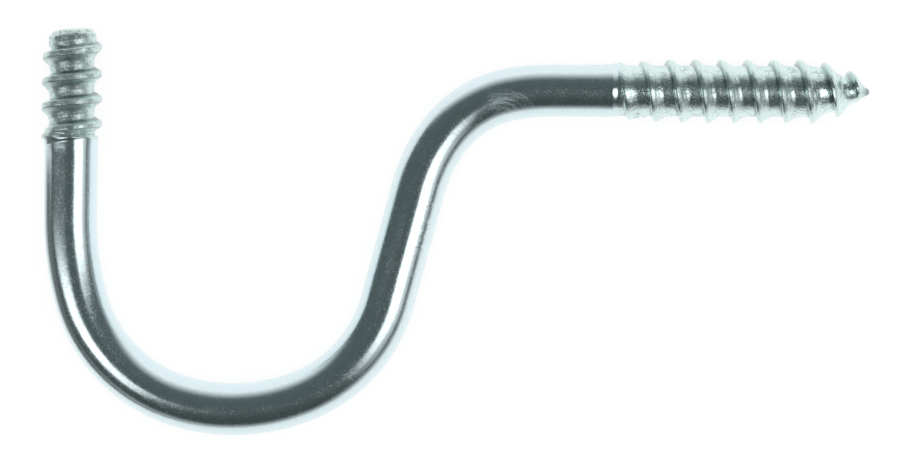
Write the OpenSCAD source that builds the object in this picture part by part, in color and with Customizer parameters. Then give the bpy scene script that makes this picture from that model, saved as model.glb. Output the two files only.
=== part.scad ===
// Insulator support screw: a round rod bent in one plane into a hook, with a
// wood thread on its shank and a coarse thread for an insulator on its post.
// It lies on its side on Z = 0, with X along the wood thread to its point and
// Y along the post to its end. The origin is under the middle of its outline.

/* [Rod] */
// Diameter of the rod
rod_d = 7; // [6:0.1:8]
// Plain shank between the wood thread and the neck
shank_len = 7.6; // [3:0.1:60]
// Straight stretch between the neck and the saddle
riser_len = 15.4; // [6:0.1:60]
// Plain post between the saddle and the insulator thread
post_len = 8.4; // [3:0.1:60]

/* [Neck, the bend from the shank to the riser] */
// Centreline radius where the neck leaves the shank
neck_lead_r = 29; // [15:0.5:60]
// Angle of that first stretch
neck_lead_a = 10.5; // [4:0.5:20]
// Centreline radius of the tight middle
neck_r = 14.5; // [9:0.5:30]
// Angle of the tight middle
neck_a = 43.5; // [30:0.5:55]
// Centreline radius where the neck runs out into the riser
neck_tail_r = 21; // [12:0.5:60]
// Angle of that last stretch
neck_tail_a = 21; // [10:0.5:30]

/* [Saddle, the bend from the riser to the post] */
// Centreline radius at the foot of the riser
saddle_lead_r = 18.8; // [12:0.2:40]
// Angle of that first stretch
saddle_lead_a = 53; // [35:0.5:65]
// Centreline radius of the flatter middle
saddle_r = 24.8; // [14:0.2:60]
// Angle of the flatter middle
saddle_a = 37.5; // [20:0.5:50]
// Centreline radius where the saddle turns up to the post
saddle_tail_r = 19.4; // [12:0.2:40]
// Angle of that stretch
saddle_tail_a = 59.5; // [45:0.5:70]
// Centreline radius where the last of the bend eases into the post
post_lead_r = 42.5; // [20:0.5:90]
// Angle of that last easing
post_lead_a = 15.5; // [5:0.5:25]

/* [Wood thread] */
// Length from the end of the shank to the point
wood_len = 34.5; // [22:0.1:70]
// Diameter over the ridge
wood_d = 8.4; // [7.6:0.1:10]
// Diameter of the core between the turns
wood_core_d = 6.7; // [5:0.1:7]
// Distance from turn to turn
wood_pitch = 3.45; // [2.6:0.05:6]
// Width of the ridge at the core
wood_root_w = 1.2; // [1:0.05:2.2]
// Width of the ridge at its crest
wood_crest_w = 0.5; // [0.3:0.05:0.9]
// Where the ridge starts, from the end of the shank
wood_start = 0.15; // [0:0.05:2]
// Turns over which the ridge swells to its full height
wood_swell = 2.5; // [0.5:0.1:5]
// Turns over which the ridge dies away at the point
wood_fade = 0.35; // [0.2:0.05:1.5]
// How much taller the ridge grows along the point
point_extra = 0.25; // [0:0.05:0.6]
// Length of the tapered point
point_len = 7.2; // [4:0.1:14]
// Diameter of the blunt tip
tip_d = 1.3; // [0.6:0.1:2.4]
// Bare tip beyond the end of the ridge
tip_bare = 1; // [0.6:0.1:3]

/* [Insulator thread] */
// Length from the end of the plain post to the tip
cap_len = 16; // [10:0.1:40]
// Diameter over the ridge
cap_d = 8; // [7.2:0.1:10]
// Diameter of the core between the turns
cap_core_d = 5.9; // [4.5:0.1:6.6]
// Distance from turn to turn
cap_pitch = 3.3; // [2.8:0.05:6]
// Width of the ridge at the core
cap_root_w = 2.5; // [1.4:0.05:2.6]
// Width of the ridge at its crest
cap_crest_w = 0.9; // [0.5:0.05:1.3]
// Where the ridge starts, from the end of the post
cap_start = 0.9; // [0.4:0.05:2]
// Turns over which the ridge rises to its full height
cap_swell = 0.3; // [0.2:0.1:1.5]
// Turns over which the ridge dies away into the stub
cap_fade = 0.3; // [0.2:0.1:1.5]
// Diameter of the plain stub beyond the last turn
stub_d = 6.2; // [5:0.1:6.8]
// Length of the stub
stub_len = 2.4; // [1.5:0.1:5]
// Slope from the core up to the stub
stub_slope = 0.3; // [0.1:0.1:1]
// Bevel round the end of the stub
stub_bevel = 0.9; // [0.3:0.1:1.4]
// Slant in degrees of the end, as shearing leaves it
stub_slant = 5; // [0:0.5:8]

/* [Collars, where the threads start] */
// Height of the lip that thread rolling raises at each end of the plain rod
lip_h = 0.16; // [0.04:0.02:0.4]
// Length of that lip
lip_len = 0.7; // [0.4:0.1:2]
// Length of the slope from the lip down to the core
lip_slope = 0.6; // [0.3:0.1:1.5]

/* [Hidden] */
$fn = 72;
ZINC = "#b9c4c6";
// Flat steps in each turn of a ridge
RIDGE_STEPS = 36;
// How far a ridge is rooted in its core
ROOTED = 0.3;
// Share of its height with which a ridge starts and ends, inside its core
FAINT = 0.1;
// Share of its width that a ridge keeps where it fades out
NARROW = 0.3;
// Step in degrees at which a bend is sampled for the outline
OUTLINE_STEP = 1;
// How far the stub's bevel runs on past its end, for the slanted cut to remove
SPARE = 0.2;
rod_r = rod_d / 2;
lip_r = rod_r + lip_h;
lie_z = max(lip_r, wood_d / 2, cap_d / 2);

// The rod from the shank to the post, one stretch after another. A straight
// stretch is [length]; a bend is [radius, angle], to the left when positive.
ROUTE = [
    [shank_len],
    [neck_lead_r, neck_lead_a], [neck_r, neck_a], [neck_tail_r, neck_tail_a],
    [riser_len],
    [saddle_lead_r, -saddle_lead_a], [saddle_r, -saddle_a],
    [saddle_tail_r, -saddle_tail_a], [post_lead_r, -post_lead_a],
    [post_len],
];

// ---- the outline seen from above, for the place of the origin ----

function along(heading) = [cos(heading), sin(heading)];
function moved(at, heading, s) =
    len(s) == 1
        ? at + s[0] * along(heading)
        : at + sign(s[1]) * s[0] * (along(heading + 90) - along(heading + s[1] + 90));
function turned(heading, s) = len(s) == 1 ? heading : heading + s[1];
function reached(points, reach) = [for (p = points) [p[0], p[1], reach]];
function arc_points(at, heading, s) =
    len(s) == 1
        ? [at]
        : [for (a = [0:OUTLINE_STEP:abs(s[1])]) moved(at, heading, [s[0], sign(s[1]) * a])];
function corners(at, heading, z, r) =
    [for (side = [-1, 1]) at + z * along(heading) + side * r * along(heading + 90)];
// Points along the middle of the rod, each with the rod's reach from it, and then
// the far corners of the insulator thread and of its stub
function outline(at, heading, i) =
    i == len(ROUTE)
        ? reached(concat(corners(at, heading, cap_start, cap_d / 2),
                         corners(at, heading, cap_len, stub_d / 2 - stub_bevel)), 0)
        : concat(reached(arc_points(at, heading, ROUTE[i]), rod_r),
                 outline(moved(at, heading, ROUTE[i]), turned(heading, ROUTE[i]), i + 1));
OUTLINE = outline([0, 0], 180, 0);
left_x = min([for (p = OUTLINE) p[0] - p[2]]);
low_y = min([for (p = OUTLINE) p[1] - p[2]]);
high_y = max(max([for (p = OUTLINE) p[1] + p[2]]), wood_d / 2);
middle = [(left_x + wood_len) / 2, (low_y + high_y) / 2];

// ---- the walk along the rod; each stretch starts at the origin, along +Y ----

function six_places(x) = round(x * 1e6) / 1e6;

// A turn about Z in two steps, a cosine and sine of six decimals and then the
// small rest, so that neighbouring stretches still meet when numbers are rounded.
module turn(angle) {
    c = six_places(cos(angle));
    s = six_places(sin(angle));
    multmatrix([[c, -s, 0, 0], [s, c, 0, 0], [0, 0, 1, 0], [0, 0, 0, 1]])
        rotate(angle - atan2(s, c)) children();
}

module straight(length) {
    rotate([-90, 0, 0]) cylinder(d = rod_d, h = length);
    translate([0, length, 0]) children();
}

module bend(radius, angle) {
    side = sign(angle);
    translate([-side * radius, 0, 0]) {
        mirror([side < 0 ? 1 : 0, 0, 0])
            rotate_extrude(angle = abs(angle))
                translate([radius, 0]) rotate(side < 0 ? 180 : 0) circle(d = rod_d);
        turn(angle) translate([side * radius, 0, 0]) children();
    }
}

module walk(i = 0) {
    if (i == len(ROUTE)) children();
    else if (len(ROUTE[i]) == 1) straight(ROUTE[i][0]) walk(i + 1) children();
    else bend(ROUTE[i][0], ROUTE[i][1]) walk(i + 1) children();
}

// ---- threads ----

// Faces of a tube of rings that have the same number of points, closed at both ends
function skin(rings, points) = concat(
    [[for (j = [0:points - 1]) j]],
    [for (i = [0:rings - 2], j = [0:points - 1])
        let (a = i * points + j, b = i * points + (j + 1) % points)
        each [[a, b + points, b], [a, a + points, b + points]]],
    [[for (j = [points - 1:-1:0]) (rings - 1) * points + j]]
);

// A helical ridge round Z, from height z0 to z1 and first facing the angle a0.
// core and tall are functions of the height: the core's radius, and how far the
// ridge stands above it. swell is a function of the turns made so far: the share
// of its full height that the ridge has there, and it narrows where it is low.
module ridge(core, tall, pitch, root_w, crest_w, z0, z1, a0, swell) {
    steps = ceil((z1 - z0) / pitch * RIDGE_STEPS);
    foot_w = root_w + (root_w - crest_w) * ROOTED / tall(z0);
    section = [[-foot_w / 2, 0], [foot_w / 2, 0], [crest_w / 2, 1], [-crest_w / 2, 1]];
    points = [for (i = [0:steps])
        let (t = i / steps * (z1 - z0) / pitch, z = z0 + t * pitch, a = a0 + 360 * t,
             share = max(FAINT, swell(t)), narrow = NARROW + (1 - NARROW) * share)
        for (p = section)
            let (zp = z + p[0] * narrow,
                 r = core(zp) - ROOTED + p[1] * (tall(z) + ROOTED) * share)
            [r * cos(a), r * sin(a), zp]];
    polyhedron(points = points, faces = skin(steps + 1, len(section)));
}

// The wood thread's core and cone, along +Z from the end of the shank
cone_end = wood_len - tip_d / 4;
wood_core = function (z)
    z < wood_len - point_len
        ? wood_core_d / 2
        : tip_d / 2 + (cone_end - z) / (cone_end - wood_len + point_len)
            * (wood_core_d - tip_d) / 2;
wood_tall = function (z)
    (wood_d - wood_core_d) / 2
        + point_extra * max(0, min(1, 2 * (z - wood_len + point_len) / point_len));

module wood_end() {
    end = wood_len - tip_bare;
    turns = (end - wood_start) / wood_pitch;
    rotate_extrude() polygon([
        [0, 0], [rod_r, 0], [lip_r, lip_len / 3], [lip_r, lip_len],
        [wood_core_d / 2, lip_len + lip_slope], [wood_core_d / 2, wood_len - point_len],
        [tip_d / 2, cone_end], [tip_d / 4, wood_len], [0, wood_len],
    ]);
    ridge(wood_core, wood_tall, wood_pitch, wood_root_w, wood_crest_w, wood_start, end, 0,
          function (t) min(sqrt(t / wood_swell), (turns - t) / wood_fade, 1));
}

// The insulator thread's core, along +Z from the end of the post
cap_core = function (z) cap_core_d / 2;
cap_tall = function (z) (cap_d - cap_core_d) / 2;

module cap_end() {
    end = cap_len - stub_bevel;
    turns = (end - cap_start) / cap_pitch;
    end_r = stub_d / 2 - stub_bevel;
    difference() {
        union() {
            rotate_extrude() polygon([
                [0, 0], [rod_r, 0], [lip_r, lip_len / 3], [lip_r, lip_len],
                [cap_core_d / 2, lip_len + lip_slope],
                [cap_core_d / 2, cap_len - stub_len - stub_slope],
                [stub_d / 2, cap_len - stub_len], [stub_d / 2, cap_len - stub_bevel],
                [end_r - SPARE, cap_len + SPARE], [0, cap_len + SPARE],
            ]);
            ridge(cap_core, cap_tall, cap_pitch, cap_root_w, cap_crest_w, cap_start, end, 90,
                  function (t) min(t / cap_swell, (turns - t) / cap_fade, 1));
        }
        translate([end_r, 0, cap_len]) rotate([0, -stub_slant, 0])
            translate([-2 * stub_d, -stub_d, 0]) cube([3 * stub_d, 2 * stub_d, stub_d]);
    }
}

// ---- the part ----

module support_screw() {
    color(ZINC) translate([-middle[0], -middle[1], lie_z]) {
        rotate([0, 90, 0]) wood_end();
        rotate(90) walk() rotate([-90, 0, 0]) cap_end();
    }
}

support_screw();
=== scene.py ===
"""Looks of the insulator support screw: a bent round rod, bright zinc plated.

The rod is swept ring by ring along its bends, and each threaded end is one pitch of
thread swept helically, so that the whole screw is a single closed skin. Sizes are in
millimetres until the finished mesh is brought to metres.
"""

import logging
import math
from dataclasses import dataclass, field
from enum import Enum
from typing import Callable, Sequence

import bmesh
import bpy
from mathutils import Matrix, Vector, noise


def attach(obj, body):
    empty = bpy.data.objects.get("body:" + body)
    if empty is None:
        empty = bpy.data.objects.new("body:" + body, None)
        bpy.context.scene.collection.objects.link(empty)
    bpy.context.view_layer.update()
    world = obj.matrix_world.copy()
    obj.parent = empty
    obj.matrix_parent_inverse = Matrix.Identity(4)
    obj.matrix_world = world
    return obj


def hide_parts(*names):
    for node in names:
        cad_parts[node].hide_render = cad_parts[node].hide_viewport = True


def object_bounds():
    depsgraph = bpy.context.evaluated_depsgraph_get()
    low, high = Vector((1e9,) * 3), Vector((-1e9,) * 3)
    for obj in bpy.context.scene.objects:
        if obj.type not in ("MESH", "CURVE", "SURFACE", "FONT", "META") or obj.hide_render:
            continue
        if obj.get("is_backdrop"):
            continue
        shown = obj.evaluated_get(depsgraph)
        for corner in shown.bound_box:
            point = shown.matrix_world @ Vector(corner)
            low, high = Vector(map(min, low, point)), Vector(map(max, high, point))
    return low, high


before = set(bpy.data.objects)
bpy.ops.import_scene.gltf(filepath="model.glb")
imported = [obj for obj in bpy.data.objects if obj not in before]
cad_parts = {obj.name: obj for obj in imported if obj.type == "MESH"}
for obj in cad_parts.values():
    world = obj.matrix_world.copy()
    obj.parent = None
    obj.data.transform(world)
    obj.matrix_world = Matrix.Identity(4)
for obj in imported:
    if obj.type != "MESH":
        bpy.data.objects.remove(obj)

LOG = logging.getLogger("support_screw")

BODY = "root"
NODE = "support_screw"

MM = 0.001
# Points around the rod and around every ring of the threads
SIDES = 96
# Merging distance for points that the sweeps lay on each other
TOUCH = 0.002
# Longest step between points of a thread's outline
OUTLINE_STEP = 0.2


def smoothstep(low: float, high: float, x: float) -> float:
    """Rises smoothly from 0 at low to 1 at high.

    Args:
        low: Where the rise starts.
        high: Where the rise ends.
        x: The place to look at.

    Returns:
        The share of the rise, from 0 to 1.
    """
    t = max(0.0, min(1.0, (x - low) / (high - low)))
    return t * t * (3 - 2 * t)


def ramp(points: Sequence[tuple[float, float]], x: float) -> float:
    """Reads a broken line at x.

    Args:
        points: Corners of the line, in rising order.
        x: The place to look at.

    Returns:
        The height of the line there; level beyond its ends.
    """
    if x <= points[0][0]:
        return points[0][1]
    for (x0, y0), (x1, y1) in zip(points, points[1:]):
        if x < x1:
            return y0 + (y1 - y0) * (x - x0) / (x1 - x0)
    return points[-1][1]


def lumps(at: Vector, size: float, seed: float) -> float:
    """Smooth noise of about the given lump size, from -1 to 1."""
    return noise.noise(at / size + Vector((seed, 2 * seed, -seed)))


class Hand(Enum):
    """Which way a stretch of the rod turns, seen from above."""

    STRAIGHT = 0
    LEFT = 1
    RIGHT = -1


@dataclass(frozen=True)
class Stretch:
    """One stretch of the rod's centreline.

    Args:
        hand: Which way it turns.
        size: Length of a straight stretch, or radius of a bend.
        angle: Angle of a bend in degrees.
        rings: Rings of mesh along it.
    """

    hand: Hand
    size: float
    angle: float = 0.0
    rings: int = 8

    @property
    def length(self) -> float:
        """Length along the centreline."""
        if self.hand is Hand.STRAIGHT:
            return self.size
        return self.size * math.radians(self.angle)


@dataclass(frozen=True)
class Stop:
    """A point of the centreline with its heading in degrees and its length so far."""

    at: Vector
    heading: float
    along: float

    @property
    def forward(self) -> Vector:
        """Unit vector along the rod."""
        turn = math.radians(self.heading)
        return Vector((math.cos(turn), math.sin(turn), 0))

    @property
    def left(self) -> Vector:
        """Unit vector to the left of the rod, in the plane of its bends."""
        turn = math.radians(self.heading + 90)
        return Vector((math.cos(turn), math.sin(turn), 0))


@dataclass
class Route:
    """The centreline from the wood thread round to the insulator thread."""

    start: Vector = field(default_factory=lambda: Vector((20.3542, 18.9424, 4.2)))
    heading: float = 180.0
    stretches: tuple[Stretch, ...] = (
        Stretch(Hand.STRAIGHT, 7.6, rings=10),
        Stretch(Hand.LEFT, 29, 10.5, 6),
        Stretch(Hand.LEFT, 14.5, 43.5, 22),
        Stretch(Hand.LEFT, 21, 21, 12),
        Stretch(Hand.STRAIGHT, 15.4, rings=20),
        Stretch(Hand.RIGHT, 18.8, 53, 28),
        Stretch(Hand.RIGHT, 24.8, 37.5, 22),
        Stretch(Hand.RIGHT, 19.4, 59.5, 30),
        Stretch(Hand.RIGHT, 42.5, 15.5, 14),
        Stretch(Hand.STRAIGHT, 8.4, rings=11),
    )

    def bend_centre(self, stop: Stop, stretch: Stretch) -> Vector:
        """Centre of the bend that starts at a stop."""
        return stop.at + stop.left * stretch.size * stretch.hand.value

    def step(self, stop: Stop, stretch: Stretch) -> Stop:
        """The stop at the end of a stretch."""
        along = stop.along + stretch.length
        if stretch.hand is Hand.STRAIGHT:
            return Stop(stop.at + stop.forward * stretch.size, stop.heading, along)
        turn = stretch.angle * stretch.hand.value
        centre = self.bend_centre(stop, stretch)
        spun = Matrix.Rotation(math.radians(turn), 3, "Z") @ (stop.at - centre)
        return Stop(centre + spun, stop.heading + turn, along)

    def stops(self) -> list[Stop]:
        """All the stops, from the wood thread's end to the insulator thread's."""
        found = [Stop(self.start, self.heading, 0.0)]
        for stretch in self.stretches:
            found.append(self.step(found[-1], stretch))
        return found


@dataclass
class Skin:
    """A mesh in the making, with what its finish needs to know of each point.

    straight holds each point's place on the rod as if it were unbent, in
    millimetres: its length along the rod and then its two offsets from the middle.
    thread is 1 on the threaded ends, groove is 1 between the ridges and the last
    layer holds painted shade: dark lines at the feet and crest edges of a ridge.
    """

    bm: bmesh.types.BMesh = field(default_factory=bmesh.new)

    def __post_init__(self) -> None:
        """Makes the layers."""
        layers = self.bm.verts.layers
        self.straight = layers.float_vector.new("straight")
        self.thread = layers.float.new("thread")
        self.groove = layers.float.new("groove")
        self.shade_line = layers.float.new("shade_line")

    def loop_at(self, test: Callable[[Vector], bool]) -> list[bmesh.types.BMEdge]:
        """Open edges whose two ends both pass a test."""
        return [e for e in self.bm.edges
                if len(e.link_faces) < 2 and all(test(v.co) for v in e.verts)]


@dataclass
class Rod:
    """The plain rod, swept along the route."""

    route: Route
    radius: float = 3.5
    # Half width of the rod in the plane of its bends, as a share of its radius, at
    # lengths along it: a bend draws the rod a little thinner, and the bending roll
    # flattens it
    breadth: tuple[tuple[float, float], ...] = (
        (0, 0.985), (8, 0.985), (18, 1.0), (32, 1.015), (46, 1.015), (62, 0.985),
        (85, 0.975), (104, 0.99), (121, 1.0),
    )
    # Long low waves that rolling leaves in the surface
    wave_h: float = 0.012
    wave_len: float = 9.0

    def sweep(self, skin: Skin) -> None:
        """Sweeps the ring of the rod along every stretch.

        Args:
            skin: Mesh that gains the rod, open at both ends.
        """
        bm = skin.bm
        stops = self.route.stops()
        face_on = Matrix.Translation(stops[0].at) @ Matrix.Rotation(math.radians(90), 4, "Y")
        ring = bmesh.ops.create_circle(bm, cap_ends=False, radius=self.radius,
                                       segments=SIDES, matrix=face_on)["verts"]
        last: list = list(ring) + list({e for v in ring for e in v.link_edges})
        known = set()
        for stop, stretch in zip(stops, self.route.stretches):
            bend = stretch.hand is not Hand.STRAIGHT
            swept = bmesh.ops.spin(
                bm, geom=last, axis=(0, 0, stretch.hand.value if bend else 1),
                cent=self.route.bend_centre(stop, stretch) if bend else stop.at,
                angle=math.radians(stretch.angle),
                dvec=Vector() if bend else stop.forward * stretch.size / stretch.rings,
                steps=stretch.rings, use_duplicate=False)
            last = swept["geom_last"]
            new = [v for v in bm.verts if v not in known]
            known.update(new)
            self._mark(skin, new, stop, stretch)
        self._shape(skin, known)

    def _mark(self, skin: Skin, points: list, stop: Stop, stretch: Stretch) -> None:
        """Notes where the points of a stretch lie on the unbent rod."""
        for v in points:
            if stretch.hand is Hand.STRAIGHT:
                along = (v.co - stop.at).dot(stop.forward)
                side = (v.co - stop.at).dot(stop.left)
            else:
                centre = self.route.bend_centre(stop, stretch)
                arm = v.co - centre
                arm.z = 0
                from_start = (stop.at - centre).angle(arm)
                along = from_start * stretch.size
                side = (stretch.size - arm.length) * stretch.hand.value
            v[skin.straight] = Vector((stop.along + along, side, v.co.z - stop.at.z))

    def _shape(self, skin: Skin, points: set) -> None:
        """Gives the rod its true breadth and its faint waves."""
        stops = self.route.stops()
        headings = [(stop.along, stop.heading) for stop in stops]
        length = stops[-1].along
        for v in points:
            along, side, up = v[skin.straight]
            fade = smoothstep(0, 2, along) * smoothstep(0, 2, length - along)
            left = Stop(v.co, ramp(headings, along), along).left
            wave = lumps(Vector((along / 2.2, side, up)), self.wave_len / 2.2, 3.7)
            shift = left * side * (ramp(self.breadth, along) - 1)
            shift += (left * side + Vector((0, 0, up))).normalized() * self.wave_h * wave
            v.co += shift * fade


@dataclass
class ThreadedEnd:
    """A threaded end, swept from one pitch of its outline.

    Its own frame has Z from the plain rod out to the tip. The outline is a line of
    points from the middle of one groove to the middle of the next.
    """

    name: str
    length: float
    outer_d: float
    core_d: float
    pitch: float
    start: float
    first_angle: float
    # Radius of the core at distances from the end of the plain rod
    core_line: tuple[tuple[float, float], ...]
    # Turns over which the ridge rises and dies away
    swell: float
    fade: float
    ridge_end: float
    # Corners of the outline: distance from the middle of the crest, share of the
    # ridge's height and rounding
    profile: tuple[tuple[float, float, float], ...]
    rough_h: float
    rough_len: float
    # Painted shade: dark lines along the ridge, in its corners and at the edge of its
    # crest: place from the middle of the crest, half width and depth
    dark_and_shade: tuple[tuple[float, float, float], ...]
    # Burrs and lumps: angle, distance from the plain rod, size and height
    scars: tuple[tuple[float, float, float, float], ...]
    # Length of the lip that is as bright as the plain rod
    bright_to: float = 0.9

    @property
    def turns(self) -> float:
        """Turns of the ridge."""
        return (self.ridge_end - self.start) / self.pitch

    def share(self, turns: float) -> float:
        """Share of its full height that the ridge has after so many turns."""
        if turns <= 0 or turns >= self.turns:
            return 0.0
        return min(1.0, turns / self.swell, (self.turns - turns) / self.fade)

    def height(self, z: float) -> float:
        """Full height of the ridge over the core."""
        return (self.outer_d - self.core_d) / 2

    def outline(self) -> bmesh.types.BMesh:
        """One pitch of the thread's outline as a line of points, its corners rounded."""
        bm = bmesh.new()
        core, tall = self.core_d / 2, (self.outer_d - self.core_d) / 2
        corners = [Vector((core + share * tall, 0, z)) for z, share, _ in self.profile]
        corners.append(corners[0] + Vector((0, 0, self.pitch)))
        line = [bm.verts.new(corner) for corner in corners]
        for edge in [bm.edges.new(ends) for ends in zip(line, line[1:])]:
            cuts = int(edge.calc_length() / OUTLINE_STEP)
            if cuts:
                bmesh.ops.subdivide_edges(bm, edges=[edge], cuts=cuts)
        for corner, (_, _, rounding) in zip(corners[1:], self.profile[1:]):
            sharp = [v for v in bm.verts if (v.co - corner).length < TOUCH]
            bmesh.ops.bevel(bm, geom=sharp, offset=rounding, offset_type="OFFSET", segments=3,
                            profile=0.5, affect="VERTICES", clamp_overlap=True, material=-1)
        return bm

    def sweep(self) -> Skin:
        """Sweeps the outline helically and shapes it.

        Returns:
            The skin in the thread's own frame, open at Z = 0 and closed at the tip.
        """
        skin = Skin()
        line = self.outline()
        mesh = bpy.data.meshes.new(self.name)
        line.to_mesh(mesh)
        skin.bm.from_mesh(mesh)
        bpy.data.meshes.remove(mesh)
        line.free()
        bm = skin.bm
        turns = math.ceil(self.length / self.pitch) + 3
        lift = self.start - 2 * self.pitch
        bmesh.ops.translate(bm, verts=list(bm.verts), vec=(0, 0, lift))
        bmesh.ops.rotate(bm, verts=list(bm.verts), cent=(0, 0, 0),
                         matrix=Matrix.Rotation(math.radians(self.first_angle), 3, "Z"))
        bmesh.ops.spin(
            bm, geom=list(bm.verts) + list(bm.edges), cent=(0, 0, 0), axis=(0, 0, 1),
            dvec=(0, 0, self.pitch / SIDES), angle=math.tau, steps=SIDES,
            use_duplicate=False)
        one_turn = list(bm.verts) + list(bm.edges) + list(bm.faces)
        for turn in range(1, turns):
            copy = bmesh.ops.duplicate(bm, geom=one_turn)["geom"]
            bmesh.ops.translate(bm, vec=(0, 0, turn * self.pitch),
                                verts=[g for g in copy if isinstance(g, bmesh.types.BMVert)])
        bmesh.ops.remove_doubles(bm, verts=list(bm.verts), dist=TOUCH)
        self._trim(skin, 0.0, upper=False)
        self._trim(skin, self.cut_at, upper=True)
        self._shape(skin)
        self.close_tip(skin)
        return skin

    @property
    def cut_at(self) -> float:
        """Height at which the sweep is cut for the tip."""
        return self.length

    def _shape(self, skin: Skin) -> None:
        """Moves every point from the even thread to its true radius."""
        even_core = self.core_d / 2
        even_tall = (self.outer_d - self.core_d) / 2
        for v in skin.bm.verts:
            x, y, z = v.co
            angle = math.degrees(math.atan2(y, x)) - self.first_angle
            part = (angle / 360) % 1
            turns = part + round((z - self.start) / self.pitch - part)
            share = self.share(turns) * smoothstep(0, 0.5, z)
            tall = (math.hypot(x, y) - even_core) / even_tall
            core = ramp(self.core_line, z)
            radius = core + tall * self.height(z) * share
            radius += self.roughness(v.co, z) + self.scarring(v.co, z)
            # Painted shade: dark lines at the feet and crest edge of the ridge, made a little uneven
            from_crest = z - self.start - turns * self.pitch
            dark_and_shade = sum(depth * math.exp(-((from_crest - place) / width) ** 2)
                       for place, width, depth in self.dark_and_shade)
            dark_and_shade *= 0.75 + 0.5 * lumps(v.co, 1.2, 9.4)
            v.co.x, v.co.y = x * radius / math.hypot(x, y), y * radius / math.hypot(x, y)
            v[skin.straight] = Vector((z, v.co.x, v.co.y))
            v[skin.thread] = smoothstep(self.bright_to, self.bright_to + 0.5, z)
            v[skin.groove] = (1 - smoothstep(0.1, 0.7, tall * share)) * v[skin.thread]
            v[skin.shade_line] = max(0.0, min(1.0, dark_and_shade * share)) * v[skin.thread]

    def roughness(self, at: Vector, z: float) -> float:
        """Small unevenness of the rolled surface, none where the plain rod meets it."""
        fade = smoothstep(0.05, 1.2, z)
        return self.rough_h * fade * (lumps(at, self.rough_len, 11.3)
                                      + 0.5 * lumps(at, self.rough_len * 0.45, 5.1))

    def scarring(self, at: Vector, z: float) -> float:
        """Height of the burrs and lumps at a point of the thread."""
        height = 0.0
        for angle, place, size, tall in self.scars:
            turn = math.radians(angle)
            reach = math.hypot(at.x, at.y)
            middle = Vector((reach * math.cos(turn), reach * math.sin(turn), place))
            near = math.exp(-((at - middle).length / size) ** 2)
            height += tall * near * (1 + lumps(at, 0.35, 8.2))
        return height

    def _trim(self, skin: Skin, z: float, upper: bool) -> None:
        """Cuts the skin level at a height and keeps one point a column in the cut."""
        bm = skin.bm
        bmesh.ops.bisect_plane(
            bm, geom=list(bm.verts) + list(bm.edges) + list(bm.faces), dist=1e-4,
            plane_co=(0, 0, z), plane_no=(0, 0, 1), clear_outer=upper, clear_inner=not upper)
        rim = {v for e in skin.loop_at(lambda p: abs(p.z - z) < 1e-3) for v in e.verts}
        columns: dict[int, bmesh.types.BMVert] = {}
        loose = []
        for v in rim:
            place = math.atan2(v.co.y, v.co.x) / math.tau * SIDES
            if abs(place - round(place)) < 0.02 and round(place) % SIDES not in columns:
                columns[round(place) % SIDES] = v
            else:
                loose.append((v, place))
        targets = {v: columns[round(place) % SIDES] for v, place in loose
                   if round(place) % SIDES in columns}
        bmesh.ops.weld_verts(bm, targetmap=targets)

    def close_tip(self, skin: Skin) -> None:
        """Closes the skin at the tip. Each end has a tip of its own."""
        raise NotImplementedError

    def draw_in(self, skin: Skin, steps: Sequence[tuple[float, float]],
                centre: Vector) -> list:
        """Draws the open tip inwards ring by ring.

        Args:
            skin: The skin, open at its top.
            steps: For each ring, its share of the last one's width and its rise.
            centre: Point on the axis about which the rings shrink.

        Returns:
            The points that the rings added.
        """
        bm = skin.bm
        top = max(v.co.z for v in bm.verts)
        edges = skin.loop_at(lambda p: p.z > top - TOUCH)
        added = []
        for width, rise in steps:
            grown = bmesh.ops.extrude_edge_only(bm, edges=edges)["geom"]
            ring = [g for g in grown if isinstance(g, bmesh.types.BMVert)]
            edges = [g for g in grown if isinstance(g, bmesh.types.BMEdge)
                     and all(v in ring for v in g.verts)]
            bmesh.ops.scale(bm, verts=ring, vec=(width, width, 1),
                            space=Matrix.Translation(-centre))
            bmesh.ops.translate(bm, verts=ring, vec=(0, 0, rise))
            added += ring
        cap = bmesh.ops.contextual_create(bm, geom=edges)["faces"]
        poked = bmesh.ops.poke(bm, faces=cap)
        return added + list(poked["verts"])


@dataclass
class WoodThread(ThreadedEnd):
    """The wood thread with its cone and blunt tip."""

    point_len: float = 7.2
    point_extra: float = 0.25
    tip_d: float = 1.3

    @property
    def cut_at(self) -> float:
        """The cone is cut just short of its blunt tip."""
        return self.length - 0.4

    def share(self, turns: float) -> float:
        """The ridge rises quickly at first and then slowly."""
        if turns <= 0 or turns >= self.turns:
            return 0.0
        return min(1.0, math.sqrt(turns / self.swell), (self.turns - turns) / self.fade)

    def height(self, z: float) -> float:
        """The ridge stands taller along the point."""
        rise = 2 * (z - self.length + self.point_len) / self.point_len
        return super().height(z) + self.point_extra * max(0.0, min(1.0, rise))

    def close_tip(self, skin: Skin) -> None:
        """A blunt ragged tip, pinched off when the thread was rolled."""
        for v in skin.bm.verts:
            inner = smoothstep(1.0, 2.0, v.co.z) - smoothstep(31, 33, v.co.z)
            v.co.z += self.wander * inner * lumps(v.co, 1.1, 7.7)
        steps = ((0.82, 0.14), (0.8, 0.1), (0.62, 0.05))
        added = self.draw_in(skin, steps, Vector())
        for v in added:
            v.co += Vector((1, -1, 0)) * self.ragged_h * lumps(v.co, 0.3, 2.7)
            v[skin.straight] = Vector((v.co.z, v.co.x, v.co.y))
            v[skin.thread] = 1.0

    # How ragged the tip is
    ragged_h: float = 0.05

    # How far the ridge wanders to and fro
    wander: float = 0.06

    def roughness(self, at: Vector, z: float) -> float:
        """The surface grows ragged towards the tip."""
        ragged = self.ragged_h * smoothstep(self.length - 2.2, self.length - 0.6, z)
        return super().roughness(at, z) + ragged * lumps(at, 0.45, 6.6)


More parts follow.
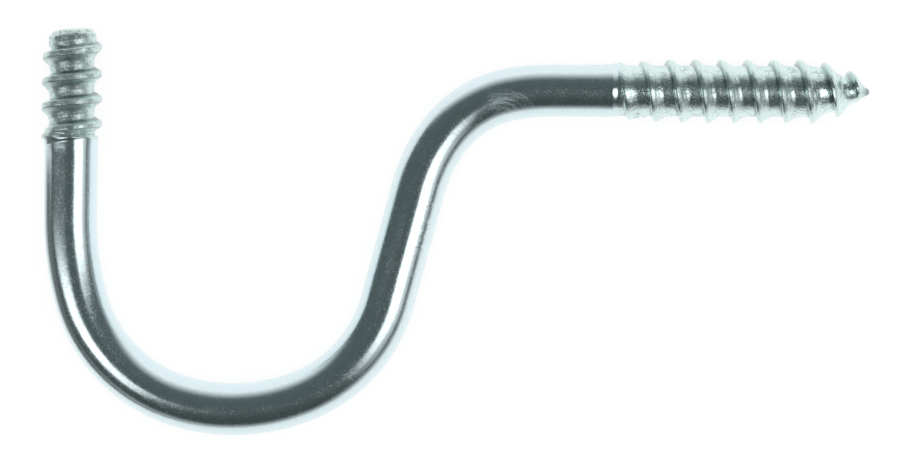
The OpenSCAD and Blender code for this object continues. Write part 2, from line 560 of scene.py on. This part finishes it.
@dataclass
class InsulatorThread(ThreadedEnd):
    """The coarse thread on the post, with the plain stub at its end."""

    # Slant of the sheared end in degrees, and how far from the axis its top lies
    slant: float = 5.0
    top_at: float = 2.3
    # Slope at which the ridge lies askew on the post
    askew: float = 0.055

    def close_tip(self, skin: Skin) -> None:
        """A slanted sheared end, rounded at its rim and dimpled."""
        steps = ((0.93, 0.17), (0.9, 0.11), (0.85, 0.07), (0.8, 0.0), (0.72, -0.03),
                 (0.6, 0.0), (0.4, 0.02))
        for v in self.draw_in(skin, steps, Vector((0, 0, 0))):
            v[skin.thread] = 1.0
        slope = math.tan(math.radians(self.slant))
        for v in skin.bm.verts:
            skew = smoothstep(1.5, 3.5, v.co.z) - smoothstep(12.5, 14.5, v.co.z)
            v.co.z -= self.askew * skew * v.co.x
            share = smoothstep(self.length - 1.6, self.length, v.co.z)
            if share:
                drop = max(0.0, self.top_at - v.co.x) * slope
                v.co.z += (0.04 * lumps(v.co, 1.3, 4.4) - drop) * share
                v[skin.straight] = Vector((v.co.z, v.co.x, v.co.y))


class Nodes:
    """A node tree in the making, one call a node."""

    def __init__(self, tree: bpy.types.NodeTree) -> None:
        """Starts with an empty tree."""
        self.tree = tree
        tree.nodes.clear()

    def add(self, kind: str, inputs: dict | None = None, **settings: object) -> bpy.types.Node:
        """Adds a node.

        Args:
            kind: Type of the node without its ShaderNode prefix.
            inputs: Sockets by name or number, each with a value or a socket to link.
            settings: Properties of the node.

        Returns:
            The new node.
        """
        node = self.tree.nodes.new("ShaderNode" + kind)
        for name, value in settings.items():
            setattr(node, name, value)
        for name, value in (inputs or {}).items():
            if isinstance(value, bpy.types.NodeSocket):
                self.tree.links.new(value, node.inputs[name])
            else:
                node.inputs[name].default_value = value
        return node

    def math(self, operation: str, *values: object, clamp: bool = False) -> bpy.types.NodeSocket:
        """A Math node on numbers or sockets."""
        node = self.add("Math", dict(enumerate(values)), operation=operation, use_clamp=clamp)
        return node.outputs[0]

    def vector(self, operation: str, *values: object) -> bpy.types.NodeSocket:
        """A Vector Math node that gives a vector."""
        node = self.add("VectorMath", dict(enumerate(values)), operation=operation)
        return node.outputs[0]

    def rise(self, value: object, low: float, high: float, to_low: float = 0.0,
             to_high: float = 1.0, soft: bool = True) -> bpy.types.NodeSocket:
        """A Map Range from one pair of values to another, smooth at its ends if soft."""
        node = self.add("MapRange", {0: value, 1: low, 2: high, 3: to_low, 4: to_high},
                        interpolation_type="SMOOTHSTEP" if soft else "LINEAR")
        return node.outputs[0]

    def parts(self, vector: object) -> list[bpy.types.NodeSocket]:
        """The X, Y and Z of a vector."""
        return list(self.add("SeparateXYZ", {0: vector}).outputs)

    def blend(self, share: object, first: object, second: object) -> bpy.types.NodeSocket:
        """A colour mixed from two."""
        node = self.add("Mix", {0: share, 6: first, 7: second}, data_type="RGBA")
        return node.outputs[2]

    def grain(self, place: object, scale: float, detail: float = 2.0,
              rough: float = 0.5) -> bpy.types.NodeSocket:
        """A noise texture's height at a place in millimetres."""
        node = self.add("TexNoise", {"Vector": place, "Scale": scale, "Detail": detail,
                                     "Roughness": rough}, noise_dimensions="3D")
        return node.outputs[0]


@dataclass(frozen=True)
class BrightZinc:
    """Bright zinc plating on drawn and rolled steel."""

    colour: tuple[float, float, float, float] = (0.77, 0.90, 0.935, 1)
    thread_colour: tuple[float, float, float, float] = (0.77, 0.93, 0.91, 1)
    dull: tuple[float, float, float, float] = (0.48, 0.61, 0.58, 1)
    # A dark tone for pits, folds and the tip, and also the painted shade at the feet and crest edges
    # of the ridges
    dark_and_shade: tuple[float, float, float, float] = (0.16, 0.19, 0.19, 1)
    smooth: float = 0.17
    # Length along the rod at which the plain stub begins
    stub_at: float = 134.8

    def build(self) -> bpy.types.Material:
        """Builds the finish.

        Returns:
            The material, which reads the piece's own straight, thread, groove and
            crease attributes.
        """
        material = bpy.data.materials.new("bright_zinc")
        material.use_nodes = True
        g = Nodes(material.node_tree)
        place = g.vector("SCALE", g.add("TexCoord").outputs["Object"])
        place.node.inputs["Scale"].default_value = 1 / MM
        thread = g.add("Attribute", attribute_name="thread").outputs["Fac"]
        groove = g.add("Attribute", attribute_name="groove").outputs["Fac"]
        shade_line = g.add("Attribute", attribute_name="shade_line").outputs["Fac"]
        straight = g.add("Attribute", attribute_name="straight").outputs["Vector"]
        along, side, up = g.parts(straight)
        wood = g.math("MULTIPLY", thread, g.math("LESS_THAN", along, 0.0))
        coarse_end = g.math("SUBTRACT", thread, wood)
        wood_groove = g.math("MULTIPLY", wood, groove)
        tip = g.math("MULTIPLY", wood, g.rise(along, -33.9, -32.9, 1.0, 0.0))
        stub = g.rise(along, self.stub_at, self.stub_at + 0.8)
        fine = g.grain(place, 3.4, 2.0, 0.55)
        coarse = g.grain(place, 0.6, 3.0, 0.6)
        medium = g.grain(place, 1.7, 2.0, 0.5)
        speck = g.rise(fine, 0.48, 0.7)
        scuff, strokes = self._scuff(g, along, side, up)
        wrinkle = self._wrinkle(g, straight, along, side)
        seam = self._seam(g, place, wood_groove)

        rough = g.math("MULTIPLY_ADD", speck, 0.1, self.smooth)
        rough = g.math("MULTIPLY_ADD", g.rise(coarse, 0.4, 0.7), 0.04, rough)
        rough = g.math("MULTIPLY_ADD", coarse_end, 0.17, rough)
        cone = g.rise(along, -27.5, -26.0, 1.0, 0.0)
        rolled = g.math("MULTIPLY", wood, g.math("MULTIPLY_ADD", cone, -0.04, 0.09))
        rough = g.math("ADD", rolled, rough)
        rough = g.math("MULTIPLY_ADD", tip, 0.15, rough)
        rough = g.math("MULTIPLY_ADD", scuff, 0.17, rough, clamp=True)

        colour = g.blend(thread, self.colour, self.thread_colour)
        stain = g.math("MULTIPLY", speck, g.math("MULTIPLY_ADD", thread, 0.08, 0.1))
        colour = g.blend(stain, colour, self.dull)
        colour = g.blend(g.math("MULTIPLY", coarse_end, 0.2), colour, self.dull)
        pits = g.rise(g.grain(place, 2.6, 1.0), 0.52, 0.66)
        where = g.math("MULTIPLY_ADD", stub, 0.3, g.math("MULTIPLY", coarse_end, 0.3))
        colour = g.blend(g.math("MULTIPLY", pits, where), colour, self.dark_and_shade)
        colour = g.blend(g.math("MULTIPLY", seam, 0.45), colour, self.dark_and_shade)
        colour = g.blend(g.math("MULTIPLY", tip, 0.3), colour, self.dark_and_shade)
        # Painted shade along the feet and crest edges of the ridges
        colour = g.blend(g.math("MULTIPLY", shade_line, 0.8), colour, self.dark_and_shade)

        height = g.math("MULTIPLY_ADD", fine, 0.0015, g.math("MULTIPLY", coarse, 0.012))
        pitted = g.math("MULTIPLY_ADD", coarse_end, 0.2, g.math("MULTIPLY", thread, 0.9))
        height = g.math("MULTIPLY_ADD", g.math("MULTIPLY", fine, pitted), 0.012, height)
        height = g.math("MULTIPLY_ADD", g.math("MULTIPLY", medium, pitted), 0.03, height)
        height = g.math("MULTIPLY_ADD", g.math("MULTIPLY", pits, where), -0.04, height)
        height = g.math("MULTIPLY_ADD", seam, -0.012, height)
        height = g.math("MULTIPLY_ADD", strokes, 0.008, height)
        height = g.math("MULTIPLY_ADD", wrinkle, 0.02, height)
        bump = g.add("Bump", {"Strength": 1.0, "Distance": MM, "Height": height})
        metal = g.add("BsdfPrincipled", {
            "Base Color": colour, "Metallic": 1.0, "Roughness": rough,
            "Normal": bump.outputs[0]})
        g.add("OutputMaterial", {"Surface": metal.outputs[0]})
        return material

    @staticmethod
    def _seam(g: Nodes, place: object, where: object) -> bpy.types.NodeSocket:
        """Fine folds that thread rolling leaves between the ridges of the wood thread."""
        cells = g.add("TexVoronoi", {"Vector": place, "Scale": 0.9, "Randomness": 1.0},
                      feature="DISTANCE_TO_EDGE").outputs["Distance"]
        line = g.rise(cells, 0.0, 0.09, 1.0, 0.0)
        patch = g.rise(g.grain(place, 0.7, 1.0), 0.47, 0.58)
        return g.math("MULTIPLY", g.math("MULTIPLY", line, patch), where)

    @staticmethod
    def _scuff(g: Nodes, along: object, side: object,
               up: object) -> tuple[bpy.types.NodeSocket, bpy.types.NodeSocket]:
        """A patch of curved scratches that the bending tool left on the neck.

        Args:
            g: The node tree.
            along: Length along the rod in millimetres.
            side: Offset to the left of the rod.
            up: Offset upwards.

        Returns:
            How scuffed the metal is, and the height of the scratches.
        """
        to_left = g.math("SUBTRACT", side, 5.2)
        forward = g.math("SUBTRACT", along, 15.6)
        reach = g.math("SQRT", g.math("ADD", g.math("MULTIPLY", to_left, to_left),
                                      g.math("MULTIPLY", forward, forward)))
        turn = g.math("ARCTAN2", forward, to_left)
        across = g.math("MULTIPLY", g.rise(reach, 3.1, 3.5), g.rise(reach, 5.9, 6.5, 1.0, 0.0))
        length = g.math("MULTIPLY", g.rise(along, 8.6, 10.2), g.rise(along, 15.5, 17.2, 1.0, 0.0))
        patch = g.math("MULTIPLY", g.math("MULTIPLY", across, length), g.rise(up, 2.6, 3.0))
        spread = g.add("CombineXYZ", {0: g.math("MULTIPLY", reach, 2.6), 1: turn}).outputs[0]
        lines = g.rise(g.grain(spread, 1.0, 1.5, 0.5), 0.4, 0.62)
        return (g.math("MULTIPLY", patch, g.math("MULTIPLY_ADD", lines, 0.7, 0.3)),
                g.math("MULTIPLY", patch, lines))

    @staticmethod
    def _wrinkle(g: Nodes, straight: object, along: object,
                 side: object) -> bpy.types.NodeSocket:
        """Small wrinkles on the inside of the neck, where the bend pressed the metal."""
        length = g.math("MULTIPLY", g.rise(along, 29, 33), g.rise(along, 38.5, 42.5, 1.0, 0.0))
        across = g.math("MULTIPLY", g.rise(side, 1.2, 1.9), g.rise(side, 2.3, 2.9, 1.0, 0.0))
        squeezed = g.vector("MULTIPLY", straight, (1.6, 0.5, 0.5))
        folds = g.rise(g.grain(squeezed, 1.0, 1.0), 0.45, 0.65)
        return g.math("MULTIPLY", folds, g.math("MULTIPLY", length, across))


@dataclass
class SupportScrew:
    """The whole screw: the rod and its two threaded ends in one skin."""

    route: Route = field(default_factory=Route)
    lip_r: float = 3.66

    def wood_thread(self) -> WoodThread:
        """The wood thread, with its sizes."""
        return WoodThread(
            name="wood_thread", length=34.5, outer_d=8.36, core_d=6.7, pitch=3.45,
            start=0.15, first_angle=0,
            core_line=((0, 3.5), (0.25, 3.52), (0.4, 3.5), (0.65, 3.44), (1.0, 3.35), (1.3, 3.35),
                       (27.3, 3.35), (31.1, 2.05), (32.8, 1.3), (33.4, 0.85), (33.9, 0.5),
                       (34.5, 0.32)),
            swell=2.5, fade=0.4, ridge_end=33.7,
            profile=((-1.75, 0, 0), (-0.45, 0, 0.08), (-0.24, 1, 0.06), (0.04, 1, 0.06),
                     (0.42, 0.75, 0.04), (0.62, 0.56, 0.04), (1.0, 0.29, 0.04), (1.13, 0.18, 0.04),
                     (1.5, 0, 0.15)),
            rough_h=0.016, rough_len=0.9,
            # Painted shade lines at the foot and crest edge of the ridge
            dark_and_shade=((-0.46, 0.13, 0.9), (0.08, 0.06, 0.35)),
            scars=((-105, 3.7, 0.55, 0.28), (-98, 4.6, 0.35, 0.2), (112, 8.5, 0.25, 0.1),
                   (100, 1.6, 0.4, 0.12)))

    def insulator_thread(self) -> InsulatorThread:
        """The insulator thread, with its sizes."""
        return InsulatorThread(
            name="insulator_thread", length=15.68, outer_d=7.96, core_d=5.9, pitch=3.3,
            start=1.15, first_angle=90,
            core_line=((0, 3.5), (0.9, 3.55), (1.3, 3.59), (1.5, 3.56), (1.7, 3.4), (2.1, 2.97),
                       (13.2, 2.83), (13.6, 3.14), (14.9, 3.14), (15.3, 3.0), (15.68, 2.72)),
            swell=0.5, fade=0.65, ridge_end=15.2,
            profile=((-2.1, 0, 0), (-1.8, 0, 0.12), (-1.0, 0.26, 0.3), (-0.36, 1, 0.1),
                     (0.33, 1, 0.12), (0.8, 0, 0.12)),
            rough_h=0.02, rough_len=1.1,
            # Painted shade lines at the foot and crest edge of the ridge
            bright_to=1.2, dark_and_shade=((0.7, 0.17, 1.1), (-0.38, 0.08, 0.8)),
            scars=((-165, 8.1, 0.4, 0.12), (-25, 11.3, 0.35, 0.1), (170, 4.6, 0.4, 0.1)))

    def build(self, box: Sequence[Vector]) -> bpy.types.Object:
        """Builds the screw.

        Args:
            box: The two corners of the box that holds the screw, in metres.

        Returns:
            The finished object, at the origin and in metres.
        """
        skin = Skin()
        Rod(self.route).sweep(skin)
        stops = self.route.stops()
        self._join(skin, self.wood_thread(), stops[0], -stops[0].forward, up_is_x=True)
        self._join(skin, self.insulator_thread(), stops[-1], stops[-1].forward, up_is_x=False)
        bm = skin.bm
        bmesh.ops.remove_doubles(bm, verts=list(bm.verts), dist=3 * TOUCH)
        bmesh.ops.recalc_face_normals(bm, faces=list(bm.faces))
        bmesh.ops.scale(bm, verts=list(bm.verts), vec=(MM, MM, MM))
        low, high = box
        for v in bm.verts:
            v.co = [max(a, min(b, x)) for a, b, x in zip(low, high, v.co)]
        for face in bm.faces:
            face.smooth = True
        open_edges = sum(1 for e in bm.edges if len(e.link_faces) != 2)
        LOG.info("screw: %d points, %d faces, %d open edges",
                 len(bm.verts), len(bm.faces), open_edges)
        mesh = bpy.data.meshes.new("zinc_screw")
        bm.to_mesh(mesh)
        bm.free()
        piece = bpy.data.objects.new("zinc_screw", mesh)
        bpy.context.scene.collection.objects.link(piece)
        return piece

    @staticmethod
    def _join(skin: Skin, end: ThreadedEnd, stop: Stop, out: Vector, up_is_x: bool) -> None:
        """Adds a threaded end at a stop of the rod.

        Args:
            skin: Mesh that gains the end.
            end: The threaded end, built in its own frame.
            stop: Where the plain rod ends.
            out: Direction from there to the tip.
            up_is_x: Whether the thread's own X points down at the floor.
        """
        made = end.sweep()
        down = Vector((0, 0, -1))
        first = down if up_is_x else down.cross(out)
        second = out.cross(first)
        turn = Matrix((first, second, out)).transposed().to_4x4()
        away = 0 if up_is_x else stop.along
        for v in made.bm.verts:
            z, side, up = v[made.straight]
            flat = turn @ Vector((side, up, 0))
            v[made.straight] = Vector((-z if up_is_x else away + z,
                                       flat.dot(stop.left), flat.z))
        bmesh.ops.transform(made.bm, matrix=Matrix.Translation(stop.at) @ turn,
                            verts=list(made.bm.verts))
        mesh = bpy.data.meshes.new(end.name)
        made.bm.to_mesh(mesh)
        made.bm.free()
        skin.bm.from_mesh(mesh)
        bpy.data.meshes.remove(mesh)
        LOG.info("%s: %d points so far", end.name, len(skin.bm.verts))


# A corner of a lamp: its place across the table as shares of the lamp's height, and
# its brightness there
Corner = tuple[float, float, float]


@dataclass(frozen=True)
class Lamp:
    """A glowing panel that hangs level over the table.

    Args:
        name: What it is called.
        near: Corners along its nearer edge.
        far: As many corners along its farther edge.
    """

    name: str
    near: tuple[Corner, ...]
    far: tuple[Corner, ...]

    def hang(self, height: float) -> None:
        """Adds the lamp to the scene at a height in metres."""
        bm = bmesh.new()
        glow = bm.verts.layers.float.new("glow")
        rows = []
        for row in (self.near, self.far):
            rows.append([bm.verts.new((x * height, y * height, height)) for x, y, _ in row])
            for v, (_, _, bright) in zip(rows[-1], row):
                v[glow] = bright
        for i in range(len(self.near) - 1):
            bm.faces.new((rows[0][i], rows[0][i + 1], rows[1][i + 1], rows[1][i]))
        mesh = bpy.data.meshes.new(self.name)
        bm.to_mesh(mesh)
        bm.free()
        lamp = bpy.data.objects.new(self.name, mesh)
        bpy.context.scene.collection.objects.link(lamp)
        material = bpy.data.materials.new(self.name)
        material.use_nodes = True
        g = Nodes(material.node_tree)
        strength = g.add("Attribute", attribute_name="glow").outputs["Fac"]
        light = g.add("Emission", {"Color": (1, 1, 1, 1), "Strength": strength})
        g.add("OutputMaterial", {"Surface": light.outputs[0]})
        mesh.materials.append(material)
        lamp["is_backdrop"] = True


@dataclass(frozen=True)
class Studio:
    """The table, the lamps, the room and the camera."""

    height: float = 0.9
    floor_half: float = 1.5
    ceiling: tuple[float, float, float] = (0.0745, 0.0903, 0.0891)
    white: tuple[float, float, float, float] = (1, 1, 1, 1)
    lamps: tuple[Lamp, ...] = (
        Lamp("right_lamp",
             near=((0.34, 0.09, 1.8), (0.28, -0.075, 1.8), (0.22, -0.245, 0.7)),
             far=((1.45, 0.25, 1.7), (1.35, -0.36, 1.8), (0.65, -0.722, 0.6))),
        Lamp("right_tail",
             near=((1.45, 0.25, 0.75), (1.35, -0.36, 0.8), (0.65, -0.722, 0.3)),
             far=((3.2, 0.5, 0.45), (3.0, -0.8, 0.5), (1.5, -1.67, 0.15))),
        Lamp("left_lamp",
             near=((-0.203, -0.26, 1.0), (-0.307, -0.223, 1.7), (-0.518, -0.11, 1.6),
                   (-0.9, -0.11, 0.5), (-1.3, -0.02, 0.1)),
             far=((-0.616, -0.788, 1.0), (-0.995, -0.723, 1.7), (-2.03, -0.544, 1.4),
                  (-2.98, -0.36, 0.6), (-5.5, -0.1, 0.35))),
    )
    # Where, left of the plain rod, the table is painted darker for the metal's reflections only: a
    # painted shade that the camera does not see
    edge: tuple[float, float] = (-0.067, -0.056)
    mirror_shade_end: tuple[float, float] = (0.006, 0.014)
    # A plain soft lamp right over the table, which the metal does not mirror
    fill_size: float = 1.1
    fill_bright: float = 2.2

    def build(self) -> None:
        """Sets the whole studio up."""
        self.floor()
        self.room()
        for lamp in self.lamps:
            lamp.hang(self.height)
        self.fill()
        self.camera()
        bpy.context.scene.view_settings.view_transform = "Standard"

    def fill(self) -> None:
        """The lamp that lights the table."""
        light = bpy.data.lights.new("fill", "AREA")
        light.size = self.fill_size
        light.energy = self.fill_bright * math.pi * light.size ** 2
        lamp = bpy.data.objects.new("fill", light)
        lamp.location = (0, 0, self.height)
        lamp.visible_glossy = False
        bpy.context.scene.collection.objects.link(lamp)

    def floor(self) -> None:
        """The plain white table, a little glossy."""
        bm = bmesh.new()
        bmesh.ops.create_grid(bm, x_segments=1, y_segments=1, size=self.floor_half)
        mesh = bpy.data.meshes.new("table")
        bm.to_mesh(mesh)
        bm.free()
        table = bpy.data.objects.new("table", mesh)
        bpy.context.scene.collection.objects.link(table)
        material = bpy.data.materials.new("table_white")
        material.use_nodes = True
        g = Nodes(material.node_tree)
        path = g.add("LightPath")
        mirrored = g.math("MAXIMUM", path.outputs["Is Glossy Ray"],
                          path.outputs["Is Transmission Ray"])
        x, y, _ = g.parts(g.add("TexCoord").outputs["Object"])
        # Painted shade in the reflections: left of the plain rod the table darkens for mirrored rays
        # only
        mirror_shade = g.math("MULTIPLY", g.rise(x, *self.edge, 0.85, 0.0),
                        g.rise(y, *self.mirror_shade_end, 1.0, 0.0))
        shaded = g.math("MULTIPLY", mirrored, mirror_shade)
        tone = g.math("SUBTRACT", 1.0, shaded)
        grey = g.add("CombineXYZ", {i: g.math("MULTIPLY", tone, 0.9) for i in range(3)})
        plain = g.add("BsdfPrincipled", {"Base Color": grey.outputs[0], "Roughness": 0.3})
        bright = g.math("MULTIPLY_ADD", mirrored, 0.08, 1.04)
        glow = g.add("Emission", {"Color": self.white, "Strength": g.math("MULTIPLY", bright, tone)})
        seen = g.math("MAXIMUM", g.math("MULTIPLY", path.outputs["Is Camera Ray"], 0.85),
                      g.math("MULTIPLY", mirrored, 0.5))
        mix = g.add("MixShader", {0: seen, 1: plain.outputs[0], 2: glow.outputs[0]})
        g.add("OutputMaterial", {"Surface": mix.outputs[0]})
        mesh.materials.append(material)
        table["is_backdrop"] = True

    def room(self) -> None:
        """A white room with a dim ceiling, which reaches lower on three of its sides."""
        world = bpy.data.worlds.new("room")
        world.use_nodes = True
        g = Nodes(world.node_tree)
        way = g.vector("NORMALIZE", g.add("TexCoord").outputs["Generated"])
        x, y, z = g.parts(way)
        level = g.math("SQRT", g.math("ADD", g.math("MULTIPLY", x, x),
                                      g.math("MULTIPLY", y, y)))
        level = g.math("MAXIMUM", level, 0.001)
        facing = g.math("DIVIDE", y, level)
        rim = g.math("ADD", g.rise(facing, 0.45, 0.906, 0.15, 0.66),
                     g.rise(facing, -0.95, -0.3, 0.18, 0.0))
        rim = g.math("MULTIPLY_ADD", g.math("DIVIDE", x, level), 0.1, rim)
        dim = g.rise(g.math("SUBTRACT", z, rim), -0.58, 0.0, soft=False)
        ceiling = g.vector("SCALE", self.ceiling)
        g.tree.links.new(g.math("MULTIPLY_ADD", y, 0.4, 1.0), ceiling.node.inputs["Scale"])
        colour = g.blend(dim, self.white, ceiling)
        back = g.add("Background", {"Color": colour, "Strength": 1.0})
        g.add("OutputWorld", {"Surface": back.outputs[0]})
        bpy.context.scene.world = world

    def camera(self) -> None:
        """A long lens that looks straight down."""
        lens, sensor, field_w, roll = 150.0, 36.0, 119.705, 0.004357
        data = bpy.data.cameras.new("camera")
        data.sensor_width = sensor
        data.lens = lens
        right = Vector((math.cos(roll), math.sin(roll), 0))
        up = Vector((-math.sin(roll), math.cos(roll), 0))
        high = 4.2 + field_w * lens / sensor
        camera = bpy.data.objects.new("camera", data)
        camera.location = (right * -0.401 + up * -0.381 + Vector((0, 0, high))) * MM
        camera.rotation_euler = (0, 0, roll)
        data.clip_end = 10
        bpy.context.scene.collection.objects.link(camera)
        bpy.context.scene.camera = camera


def main() -> None:
    """Builds the screw within the CAD parts' box, and its studio."""
    logging.basicConfig(level=logging.INFO, format="%(name)s: %(message)s")
    cad_box = [list(corner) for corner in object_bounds()]
    screw = SupportScrew().build(cad_box)
    screw.data.materials.append(BrightZinc().build())
    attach(screw, BODY)
    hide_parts(NODE)
    Studio().build()


if __name__ == "__main__":
    main()
